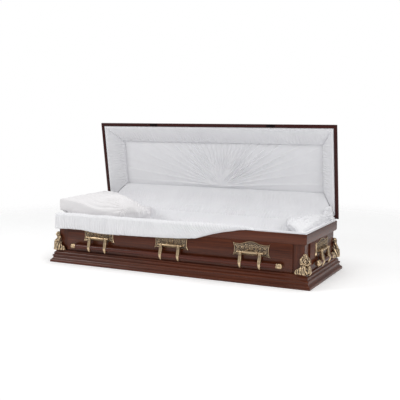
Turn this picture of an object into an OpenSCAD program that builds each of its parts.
// Full-couch wooden burial casket with a hinged crowned lid, swing-bar handles
// and cast corner figures. Millimetres, +Z up, origin at the centre of the underside,
// +X towards the foot end, -Y towards the front. The lid is drawn standing open.

/* [Overall] */
// Length of the base moulding, head to foot
base_len = 2120; // [1900:10:2300]
// Width of the base moulding, front to back
base_wid = 784; // [700:4:900]
// Height of the rim above the floor
rim_top = 364; // [340:2:440]

/* [Base moulding] */
// Height of the base moulding
base_h = 94; // [80:1:112]
// How far the moulding flares out below its ledge
base_flare = 36; // [26:1:44]
// Depth of the moulding on the floor, outside to inside
base_depth = 82; // [82:1:110]

/* [Carcass] */
// Ledge left in front of the rim band
ledge = 2; // [0:0.5:10]
// Thickness of the rim band
band_t = 32; // [28:1:36]
// Height of the rim band
band_h = 72; // [50:1:90]
// Set-back of the panels behind the rim band
panel_set = 10; // [8:0.5:12]
// Thickness of the side and end panels
panel_t = 18; // [12:1:20]
// Set-back of the corner posts behind the panels
post_set = 10; // [6:0.5:12]
// Thickness of the corner posts
post_t = 20; // [12:1:20]
// Length of a corner recess along the sides
post_side = 100; // [85:1:140]
// Length of a corner recess along the ends
post_end = 110; // [85:1:140]
// Thickness of the floor board
floor_t = 25; // [18:1:40]

/* [Lid] */
// Gap between the rim and the closed lid
lid_gap = 3.4; // [3.2:0.1:6]
// How far the lid stands open
lid_open = 82; // [60:1:90]
// Width of the lid's rails
rail_w = 24; // [20:1:30]
// Height of the lid's rails
rail_h = 28; // [24:1:40]
// Rise of the sloping crown above the rails
crown_rise = 119; // [110:1:150]
// Distance the crown slopes in
crown_run = 108; // [95:1:130]
// Thickness of the crown boards, measured level
crown_t = 21.6; // [16:0.2:24]
// Thickness of the top board
top_t = 18; // [12:1:26]

/* [Hinges] */
// Hinge pins behind the back of the rim
pin_back = 19; // [18:0.5:26]
// Hinge pins below the rim
pin_down = 15; // [12:0.5:24]
// Distance of the outer hinges from the middle one
hinge_space = 700; // [400:10:850]
// Length of a hinge
hinge_len = 60; // [48:1:90]
// Radius of a hinge pin
pin_r = 3; // [2:0.25:3.5]

/* [Handles] */
// Distance between the handle plates along a side
plate_space = 625; // [500:5:680]
// Width of a handle plate
plate_w = 270; // [230:2:290]
// Height of a handle plate at its sides
plate_h = 84; // [76:1:86]
// Rise of the plate's arched top
plate_arch = 20; // [8:1:22]
// Underside of the plates above the floor
plate_z = 186; // [184:1:190]
// Distance from the middle of a plate to each arm
arm_space = 72; // [66:1:80]
// Width of an arm
arm_w = 28; // [22:1:34]
// Pivot of the arms above the floor
pivot_z = 215; // [213:1:220]
// Pivot of the arms in front of the panel
pivot_out = 26; // [25:0.5:28]
// Length of an arm from pivot to bar
arm_len = 75; // [70:1:78]
// Centre of the hanging bar in front of the panel
bar_out = 30; // [29:0.5:34]
// Radius of the wooden bar
bar_r = 16; // [12:0.5:18]
// Length of the side bars, over their caps
side_bar = 1730; // [1500:10:1790]
// Length of the end bars, over their caps
end_bar = 374; // [300:2:430]

/* [Linings] */
// Thickness of the body lining
lining_t = 14; // [8:1:24]
// Thickness of the lining where it laps over the rim
lap_t = 2.5; // [1.5:0.1:2.6]
// Width of the lid's gathered border along the sides
border_side = 166; // [145:1:190]
// Width of the lid's gathered border at the ends
border_end = 140; // [136:1:190]
// Depth of the lid's lining at the inner edge of that border
border_deep = 106; // [90:1:108]
// Height of the mattress top at the foot end
bed_top = 190; // [120:1:250]
// Extra height of the mattress at the head end
bed_rise = 100; // [0:1:110]
// Length of the pillow
pillow_len = 620; // [450:10:700]
// Height of the middle of the pillow above the rim
pillow_up = 138; // [100:1:150]
// Drop of the overlay below the rim
overlay_drop = 124; // [90:1:128]
// Length of the overlay from the head end
overlay_len = 1682; // [1400:1:1800]

/* [Corner figures] */
// Height of a corner figure
figure_h = 148; // [120:1:150]

/* [Hidden] */
$fn = 32;

// The four sides in turn, as quarter turns of the front
FRONT = 0;
FOOT = 1;
BACK = 2;
HEAD = 3;

wood = [0.29, 0.16, 0.11];
dark_wood = [0.2, 0.08, 0.06];
brass = [0.66, 0.54, 0.36];
cloth = [0.88, 0.87, 0.88];
black_iron = [0.05, 0.05, 0.05];

fit = 0.3; // clearance between a soft piece and what it lies on
run_fit = 0.06; // radial clearance of a pin in its eye
slip_fit = 0.1; // radial clearance of a bar in its arms and caps

// Half sizes of the nested outlines, as [half length, half width]
foot_half = [base_len / 2, base_wid / 2];
ledge_half = inset_by(foot_half, base_flare);
band_half = inset_by(ledge_half, ledge);
panel_half = inset_by(band_half, panel_set);
post_half = inset_by(panel_half, post_set);
room_half = inset_by(foot_half, base_depth);
lining_in_half = inset_by(room_half, lining_t);

wall_h = rim_top - band_h - base_h;
lap_top = rim_top + fit + lap_t;
lid_z = rim_top + lid_gap;
lap_margin = 4;

pin_y = band_half[1] + pin_back;
pin_z = rim_top - pin_down;

function inset_by(half, d) = [half[0] - d, half[1] - d];
function turned(half, side) = side % 2 == 0 ? half : [half[1], half[0]];
function arc(cx, cy, r, from, to, n = 6) =
  [for (i = [0:n]) let (a = from + (to - from) * i / n) [cx + r * cos(a), cy + r * sin(a)]];

// A moulding along one side of a rectangle, mitred at its corners. Its child is the
// profile: x is the distance out from the rectangle's line, y the height.
module mitred_run(side, half, out, deep) {
  h = turned(half, side);
  rotate([0, 0, 90 * side]) intersection() {
    translate([-h[0] - out, -h[1], 0]) rotate([90, 0, 90])
      linear_extrude(2 * (h[0] + out)) mirror([1, 0]) children();
    linear_extrude(rim_top + crown_rise) polygon([
      [-h[0] - out, -h[1] - out], [h[0] + out, -h[1] - out],
      [h[0] - deep, deep - h[1]], [deep - h[0], deep - h[1]]
    ]);
  }
}

// A box centred on the origin in plan, from height z0 to z1
module slab(half, z0, z1) {
  translate([-half[0], -half[1], z0]) cube([2 * half[0], 2 * half[1], z1 - z0]);
}

// ---- Base and carcass ----

// The base profile, from the floor up: nose, cove, step, bead, step and upper quarter
module base_profile() {
  u = base_flare / 36;
  v = base_h / 94;
  scaled = concat(
    [[36, 0]], arc(22, 10, 14, 0, 75), arc(39, 42, 22, 235, 180, 4), [[17, 46], [22, 46]],
    arc(13, 50, 9, 0, 90), [[13, 62], [10, 63], [10, 66], [12, 66]],
    arc(0, 70, 12, 0, 80), [[1.5, 84], [0, 84], [0, 94]]
  );
  inner = base_flare - base_depth;
  polygon(concat([[inner, 0]], [for (p = scaled) [p[0] * u, p[1] * v]], [[inner, base_h]]));
}

module base_moulding(side) {
  color(wood) mitred_run(side, ledge_half, base_flare + 1, base_depth - base_flare)
    base_profile();
}

module floor_board() {
  color(wood) slab(room_half, 0, floor_t);
}

module panel(side) {
  h = turned(panel_half, side);
  recess = (side % 2 == 0 ? post_side : post_end) - panel_set;
  color(wood) rotate([0, 0, 90 * side])
    translate([recess - h[0], -h[1], base_h]) cube([2 * (h[0] - recess), panel_t, wall_h]);
}

// A corner post is an angle of two boards, behind the faces of the panels
module post(to_foot, to_back) {
  along = post_side - panel_set - post_set;
  across = post_end - panel_set - post_set;
  color(wood) mirror([to_foot ? 0 : 1, 0, 0]) mirror([0, to_back ? 1 : 0, 0])
    translate([post_half[0], -post_half[1], base_h]) {
      difference() {
        translate([-along, 0, 0]) cube([along, across, wall_h]);
        translate([-along - 1, post_t, -1])
          cube([along + 1 - post_t, across, wall_h + 2]);
      }
    }
}

// The rim band has a small cove along its lower edge
module band_profile() {
  polygon(concat(
    [[-band_t, 0], [-8, 0], [-8, 2]], arc(-8, 8, 6, -90, 0),
    [[-2, 11], [0, 11], [0, band_h - 3], [-3, band_h], [-band_t, band_h]]
  ));
}

module rim_band(side) {
  difference() {
    color(wood) translate([0, 0, rim_top - band_h]) mitred_run(side, band_half, 1, band_t)
      band_profile();
    if (side == FRONT) strikes();
  }
}

// ---- Handles ----

plate_t = 5;
frame_w = 8;
relief_t = 4;
scroll_r = 13;
ear_w = 10;
barrel_r = 8;
eye_r = 10;
ring_r = bar_r + 5;
arm_tip = 38;
cap_len = 45;
cap_grip = 28;

function arch(x) = abs(x) < plate_w * 0.35 ? plate_arch * pow(cos(x / plate_w * 257), 2) : 0;

// The outline of a plate: an arched top, a scalloped foot and a scroll at each corner
module plate_outline(shrink) {
  n = 24;
  half = plate_w / 2 - shrink;
  polygon(concat(
    [for (i = [0:n]) let (x = half * (2 * i / n - 1)) [x, shrink + 5 * abs(sin(x / half * 360))]],
    [for (i = [n:-1:0]) let (x = half * (2 * i / n - 1)) [x, plate_h - shrink + arch(x)]]
  ));
  if (shrink == 0) for (s = [-1, 1]) translate([s * (half - 6), scroll_r - 4]) circle(scroll_r);
}

// Leaves that spread from the foot of the plate, as low rounded ribs
module plate_leaves() {
  reach = plate_h - frame_w - 14;
  for (i = [-4:4]) {
    a = i * 20;
    length = min(reach, (plate_w / 2 - frame_w - 10) / max(abs(sin(a)), 0.01) * 0.9);
    translate([0, frame_w + 12]) rotate(-a) translate([0, 8]) {
      translate([-3, 0]) square([6, length - 18]);
      translate([0, length - 18]) circle(6);
    }
  }
}

// One handle plate, standing on the plane y = 0 and facing -Y, its foot at z = 0
module plate() {
  rise = pivot_z - plate_z;
  rotate([90, 0, 0]) {
    linear_extrude(plate_t) plate_outline(0);
    linear_extrude(plate_t + relief_t) difference() {
      plate_outline(0);
      plate_outline(frame_w);
    }
    linear_extrude(plate_t + relief_t / 2) plate_leaves();
  }
  inner = arm_space - arm_w / 2 - 2;
  outer = arm_space + arm_w / 2 + 2;
  // the pin that both arms turn on, the ears at its ends and the barrel at its middle
  translate([-outer - ear_w, -pivot_out, rise]) rotate([0, 90, 0])
    cylinder(h = 2 * (outer + ear_w), r = eye_r / 2);
  for (s = [-1, 1]) translate([s > 0 ? outer : -outer - ear_w, 0, rise]) ear(ear_w, eye_r - 2);
  translate([-inner, 0, rise]) ear(2 * inner, barrel_r);
}

// A block from the plate out to the pin, rounded over it
module ear(width, r) {
  translate([0, -pivot_out, 0]) rotate([0, 90, 0]) cylinder(h = width, r = r);
  translate([0, -pivot_out, -r * 0.75]) cube([width, pivot_out - plate_t + 1, r * 1.5]);
}

module side_plate(side, at) {
  color(brass) rotate([0, 0, 90 * side])
    translate([at, -turned(panel_half, side)[1], plate_z]) plate();
}

// A hanging bar is drawn along X with its centre on the axis
module bar_rod(length) {
  grip = length / 2 - cap_len + cap_grip;
  translate([-grip, 0, 0]) rotate([0, 90, 0]) cylinder(h = 2 * grip, r = bar_r);
}

module cap() {
  wall = 4;
  rotate([0, 90, 0]) rotate_extrude() polygon(concat(
    [[bar_r + slip_fit, 0], [bar_r + wall, 0], [bar_r + wall, 6], [bar_r + wall - 1.5, 8],
     [bar_r + wall - 1.5, 11], [bar_r + wall, 13], [bar_r + wall, cap_len - 14]],
    [for (a = [15:15:75]) [(bar_r + wall) * cos(a), cap_len - 14 + 14 * sin(a)]],
    [[0, cap_len], [0, cap_grip], [bar_r + slip_fit, cap_grip]]
  ));
}

// An arm is a leaf in front view and a long pear in side view, pierced for pin and bar
module arm() {
  lean = bar_out - pivot_out;
  shoulder = arm_w * 0.36;
  difference() {
    intersection() {
      translate([-arm_w / 2, 0, 0]) rotate([90, 0, 90]) linear_extrude(arm_w) {
        circle(eye_r);
        translate([-lean, -arm_len]) circle(ring_r);
        polygon([
          [eye_r, 0], [ring_r - lean, -arm_len], [4 - lean, -arm_len - arm_tip],
          [-4 - lean, -arm_len - arm_tip], [-ring_r - lean, -arm_len], [-eye_r, 0]
        ]);
      }
      translate([0, ring_r * 2, 0]) rotate([90, 0, 0]) linear_extrude(ring_r * 5) polygon(concat(
        [[-shoulder, eye_r], [-shoulder, 0]],
        [for (i = [1:11]) let (t = i / 12) [-leaf(t, shoulder), -t * (arm_len + arm_tip)]],
        [[0, -arm_len - arm_tip]],
        [for (i = [11:-1:1]) let (t = i / 12) [leaf(t, shoulder), -t * (arm_len + arm_tip)]],
        [[shoulder, 0], [shoulder, eye_r]]
      ));
    }
    translate([-arm_w, 0, 0]) rotate([0, 90, 0])
      cylinder(h = 2 * arm_w, r = eye_r / 2 + run_fit);
    translate([-arm_w, -lean, -arm_len]) rotate([0, 90, 0])
      cylinder(h = 2 * arm_w, r = bar_r + slip_fit);
  }
}

// Half width of an arm a share t of the way down it, widest near the bar
function leaf(t, shoulder) =
  t < 0.55 ? shoulder + (arm_w / 2 - shoulder) * sin(t / 0.55 * 90)
           : arm_w / 2 * sqrt(max(0, 1 - pow((t - 0.55) / 0.45, 2)));

module bar(side, length) {
  color(dark_wood) rotate([0, 0, 90 * side])
    translate([0, -turned(panel_half, side)[1] - bar_out, pivot_z - arm_len]) bar_rod(length);
}

module arms(side, length, places) {
  color(brass) rotate([0, 0, 90 * side]) translate([0, -turned(panel_half, side)[1], pivot_z]) {
    for (x = places, s = [-1, 1]) translate([x + s * arm_space, -pivot_out, 0]) arm();
    for (s = [0, 1]) mirror([s, 0, 0])
      translate([length / 2 - cap_len, -bar_out, -arm_len]) cap();
  }
}

// ---- Corner figures ----

// A ball of a figure, placed by its distance across, out from the corner and up
module lump(across, out, up, r) {
  k = figure_h / 148;
  translate([across * k, -out * k, up * k]) sphere(r = r * k, $fn = 12);
}

module limb(a, b) {
  hull() {
    lump(a[0], a[1], a[2], a[3]);
    lump(b[0], b[1], b[2], b[3]);
  }
}

// A seated, hooded mourner in a long robe, hands folded in the lap, head bowed. It faces
// -Y, with its back hollowed to fit round the corner of a post at the origin.
module mourner() {
  difference() {
    union() {
      // the rock seat, spread along both faces of the post
      for (s = [-1, 1]) hull() {
        lump(s * 52, -28, 8, 13);
        lump(s * 46, -20, 22, 13);
        lump(s * 14, 6, 44, 14);
        lump(s * 20, 20, 8, 12);
      }
      // skirts of the robe over the knees, falling to the feet
      for (s = [-1, 1]) {
        hull() {
          lump(s * 14, 4, 58, 18);
          lump(s * 20, 30, 52, 13);
          lump(s * 24, 34, 10, 10);
          lump(s * 40, 8, 12, 12);
        }
        limb([s * 16, 38, 6, 6], [s * 14, 46, 4, 4]);
        limb([s * 26, 4, 106, 12], [s * 32, 14, 78, 10]);
        limb([s * 32, 14, 78, 9], [s * 6, 36, 68, 7]);
      }
      hull() {
        lump(0, 26, 40, 16);
        lump(0, 30, 12, 10);
      }
      // trunk, shoulders and cloak
      hull() {
        lump(0, 2, 60, 24);
        lump(-20, 2, 104, 15);
        lump(20, 2, 104, 15);
      }
      limb([0, 8, 116, 12], [0, 16, 130, 14]);
      lump(0, 19, 132, 16);
    }
    // the corner of the post
    translate([0, 0, -1]) rotate(45) translate([-fit * 0.7, -fit * 0.7, 0]) cube([120, 120, figure_h * 2]);
    translate([0, 0, -20]) cube([figure_h * 3, figure_h * 3, 40], center = true);
  }
}

module figure(to_foot, to_back) {
  color(brass) mirror([to_foot ? 0 : 1, 0, 0]) mirror([0, to_back ? 1 : 0, 0])
    translate([post_half[0], -post_half[1], base_h]) rotate(45) mourner();
}

// ---- Hinges ----

leaf_t = 3;
knuckle_r = 6.5;
knuckle_gap = 0.5;

module at_pin() {
  translate([0, pin_y, pin_z]) children();
}

// Turned with the pin along X, from the middle of the hinge
module pin_cylinder(x0, x1, r) {
  translate([x0, 0, 0]) rotate([0, 90, 0]) cylinder(h = x1 - x0, r = r);
}

module hinge_base(at) {
  third = hinge_len / 6;
  color(brass) translate([at, 0, 0]) at_pin() {
    pin_cylinder(-hinge_len / 2, hinge_len / 2, pin_r);
    for (s = [0, 1]) mirror([s, 0, 0]) {
      pin_cylinder(third + knuckle_gap, hinge_len / 2, knuckle_r);
      translate([third + knuckle_gap, 0, 0]) rotate([90, 0, 90])
        linear_extrude(hinge_len / 2 - third - knuckle_gap)
          polygon([[0, -knuckle_r], [0, 2], [-pin_back, -6], [-pin_back, -18]]);
    }
    translate([-hinge_len / 2, -pin_back, -45]) cube([hinge_len, leaf_t, 41]);
  }
}

module hinge_lid(at) {
  third = hinge_len / 6;
  rail_foot = pin_down + lid_gap + 1;
  color(brass) opened() translate([at, 0, 0]) at_pin() {
    difference() {
      union() {
        pin_cylinder(-third, third, knuckle_r);
        translate([-third, 0, 0]) rotate([90, 0, 90]) linear_extrude(2 * third)
          polygon([
            [knuckle_r, 0], [knuckle_r, 6], [leaf_t - pin_back, rail_foot + 10],
            [-pin_back, rail_foot + 10], [-pin_back, rail_foot], [-knuckle_r, 2]
          ]);
        translate([-hinge_len / 2, -pin_back, rail_foot]) cube([hinge_len, leaf_t, 10]);
      }
      pin_cylinder(-third - 1, third + 1, pin_r + run_fit);
    }
  }
}

// ---- Lid, drawn closed and then opened about the hinge pins ----

module opened() {
  at_pin() rotate([-lid_open, 0, 0]) translate([0, -pin_y, -pin_z]) children();
}

module rail_profile() {
  polygon(concat(
    [[-rail_w, 0], [0, 0], [0, 12], [-2, 12]], arc(-8, 18, 6, 0, 90),
    [[-8, rail_h], [-rail_w, rail_h]]
  ));
}

module lid_rail(side) {
  color(dark_wood) opened() difference() {
    translate([0, 0, lid_z]) mitred_run(side, band_half, 1, rail_w) rail_profile();
    if (side == FRONT) for (s = [-1, 1]) latch_body(s, 0, 1);
  }
}

crown_in = 8;

module crown_profile() {
  polygon([
    [-crown_in, 0], [-crown_in - crown_run, crown_rise],
    [-crown_in - crown_run - crown_t, crown_rise], [-crown_in - crown_t, 0]
  ]);
}

module crown(side) {
  color(wood) opened() translate([0, 0, lid_z + rail_h])
    mitred_run(side, band_half, 1, crown_in + crown_run + crown_t) crown_profile();
}

// The top board laps the crown and carries a raised field
module crown_top() {
  lap = 6;
  z = lid_z + rail_h + crown_rise;
  edge = inset_by(band_half, crown_in + crown_run - lap);
  color(wood) opened() {
    slab(edge, z, z + top_t * 2 / 3);
    slab(inset_by(edge, 14), z + top_t * 2 / 3, z + top_t);
  }
}

// ---- Latches on the lid's free edge, and their strikes in the rim ----

latch_len = 70;
latch_w = 13;
latch_t = 2.5;
tongue_len = 26;
tongue_t = 6;
tongue_drop = 9;
latch_space = 510;
latch_y = 12 - band_half[1];

// The seat of a latch, let in from under the rail; the latch itself is the same less its fit
module latch_body(s, play, below) {
  half = [latch_len / 2 - play, latch_w / 2 - play];
  translate([s * latch_space, latch_y, 0])
    slab(half, lid_z - below, lid_z + latch_t - play);
}

module latch(s) {
  color(black_iron) opened() {
    latch_body(s, slip_fit, 0);
    translate([s * latch_space, latch_y, 0])
      slab([tongue_len / 2, tongue_t / 2], lid_z - tongue_drop, lid_z + latch_t / 2);
  }
}

// Slots in the rim for the tongues of the latches
module strikes() {
  for (s = [-1, 1]) translate([s * latch_space, latch_y, rim_top])
    cube([tongue_len + 6, tongue_t + 4, 2 * tongue_drop], center = true);
}

// ---- Linings and bedding ----

module body_lining() {
  lap_half = inset_by(band_half, lap_margin);
  color(cloth) difference() {
    union() {
      slab(inset_by(room_half, fit), floor_t + fit, rim_top + fit);
      slab(lap_half, rim_top + fit, lap_top);
    }
    slab(lining_in_half, floor_t, lap_top + 1);
    strikes();
  }
}

function bed_at(x) = bed_top + bed_rise * max(0, (-bed_bend - x) / (lining_in_half[0] - bed_bend));
bed_bend = 300;

// The mattress rises towards the head end
module mattress() {
  h = inset_by(lining_in_half, fit);
  color(cloth) translate([0, h[1], 0]) rotate([90, 0, 0]) linear_extrude(2 * h[1]) polygon([
    [-h[0], floor_t + fit], [h[0], floor_t + fit], [h[0], bed_top],
    [-bed_bend, bed_top], [-h[0], bed_at(-h[0])]
  ]);
}

// The pillow fills the head of the casket and swells out over the rim
module pillow() {
  r = 40;
  x0 = -lining_in_half[0] + 4;
  x1 = x0 + pillow_len - 2 * r;
  y = lining_in_half[1] - 10;
  z = lap_top + r + 20;
  low_y = lining_in_half[1] - 4;
  color(cloth) {
    hull() {
      for (sx = [x0, x1], sy = [-y, y]) translate([sx, sy, z]) sphere(r = r, $fn = 16);
      for (sx = [x0 + 0.38 * pillow_len, x0 + 0.55 * pillow_len], sy = [-y / 2, y / 2])
        translate([sx, sy, rim_top + pillow_up - r]) sphere(r = r, $fn = 16);
    }
    translate([0, low_y, 0]) rotate([90, 0, 0]) linear_extrude(2 * low_y) polygon([
      [x0, bed_at(x0) + fit], [x1 - 30, bed_at(x1 - 30) + fit], [x1 - 30, z], [x0, z]
    ]);
  }
}

// The padded overlay laps over the front of the rim, its foot end cut on the slant
module overlay() {
  thick = 23;
  front = band_half[1] + 1.5;
  low = rim_top - overlay_drop;
  top = lap_top + fit + thick;
  inner = lining_in_half[1] + 22;
  x0 = -band_half[0];
  x1 = x0 + overlay_len;
  color(cloth) intersection() {
    translate([x0, 0, 0]) rotate([90, 0, 90]) linear_extrude(overlay_len) polygon([
      [-front, low], [-front, lap_top + fit], [-inner, lap_top + fit], [-inner, top],
      [-front - thick, top], [-front - thick, low]
    ]);
    rotate([90, 0, 0]) linear_extrude(base_wid) polygon([
      [x0, low], [x1 - 450, low], [x1 - 330, low + 60], [x1 - 130, rim_top - 6],
      [x1, lap_top + 2], [x1, top], [x0, top]
    ]);
  }
}

// A hollow pyramid's four sloping sides, by the outline and height of its two edges
module frustum(low_half, low_z, high_half, high_z) {
  corners = [[-1, -1], [1, -1], [1, 1], [-1, 1]];
  polyhedron(
    points = concat(
      [for (c = corners) [c[0] * low_half[0], c[1] * low_half[1], low_z]],
      [for (c = corners) [c[0] * high_half[0], c[1] * high_half[1], high_z]]
    ),
    faces = [[0, 1, 2, 3], [7, 6, 5, 4], [0, 4, 5, 1], [1, 5, 6, 2], [2, 6, 7, 3], [3, 7, 4, 0]]
  );
}

border_t = 14;
border_out = inset_by(band_half, rail_w + fit);
border_in = [band_half[0] - border_end, band_half[1] - border_side];

// The gathered border slopes from the rails up to the centre panel
module lid_border() {
  z0 = lid_z + 2;
  z1 = lid_z + border_deep;
  color(cloth) opened() difference() {
    frustum(border_out, z0, border_in, z1 + border_t);
    frustum(inset_by(border_out, border_t), z0, border_in, z1);
    slab(inset_by(border_out, border_t), z0 - 1, z0);
    slab(border_in, z1 - 0.01, z1 + border_t + 1);
  }
}

module lid_panel() {
  z = lid_z + border_deep + border_t + fit;
  color(cloth) opened() slab(inset_by(border_in, -8), z, z + border_t);
}

base_moulding(FRONT);  // base_front
base_moulding(FOOT);  // base_foot
base_moulding(BACK);  // base_back
base_moulding(HEAD);  // base_head
floor_board();
panel(FRONT);  // panel_front
panel(FOOT);  // panel_foot
panel(BACK);  // panel_back
panel(HEAD);  // panel_head
post(true, false);  // post_front_foot
post(true, true);  // post_back_foot
post(false, true);  // post_back_head
post(false, false);  // post_front_head
rim_band(FRONT);  // rim_front
rim_band(FOOT);  // rim_foot
rim_band(BACK);  // rim_back
rim_band(HEAD);  // rim_head
side_plate(FRONT, -plate_space);  // plate_front_head
side_plate(FRONT, 0);  // plate_front_middle
side_plate(FRONT, plate_space);  // plate_front_foot
side_plate(BACK, plate_space);  // plate_back_head
side_plate(BACK, 0);  // plate_back_middle
side_plate(BACK, -plate_space);  // plate_back_foot
side_plate(HEAD, 0);  // plate_head_end
side_plate(FOOT, 0);  // plate_foot_end
figure(true, false);  // figure_front_foot
figure(true, true);  // figure_back_foot
figure(false, true);  // figure_back_head
figure(false, false);  // figure_front_head
hinge_base(-hinge_space);  // hinge_base_head
hinge_base(0);  // hinge_base_middle
hinge_base(hinge_space);  // hinge_base_foot
body_lining();
mattress();
pillow();
overlay();
bar(FRONT, side_bar);  // bar_front
bar(FOOT, end_bar);  // bar_foot
bar(BACK, side_bar);  // bar_back
bar(HEAD, end_bar);  // bar_head
arms(FRONT, side_bar, [-plate_space, 0, plate_space]);  // arms_front
arms(FOOT, end_bar, [0]);  // arms_foot
arms(BACK, side_bar, [-plate_space, 0, plate_space]);  // arms_back
arms(HEAD, end_bar, [0]);  // arms_head
lid_rail(FRONT);  // lid_rail_front
lid_rail(FOOT);  // lid_rail_foot
lid_rail(BACK);  // lid_rail_back
lid_rail(HEAD);  // lid_rail_head
crown(FRONT);  // crown_front
crown(FOOT);  // crown_foot
crown(BACK);  // crown_back
crown(HEAD);  // crown_head
crown_top();
hinge_lid(-hinge_space);  // hinge_lid_head
hinge_lid(0);  // hinge_lid_middle
hinge_lid(hinge_space);  // hinge_lid_foot
latch(-1);  // latch_head
latch(1);  // latch_foot
lid_border();
lid_panel();
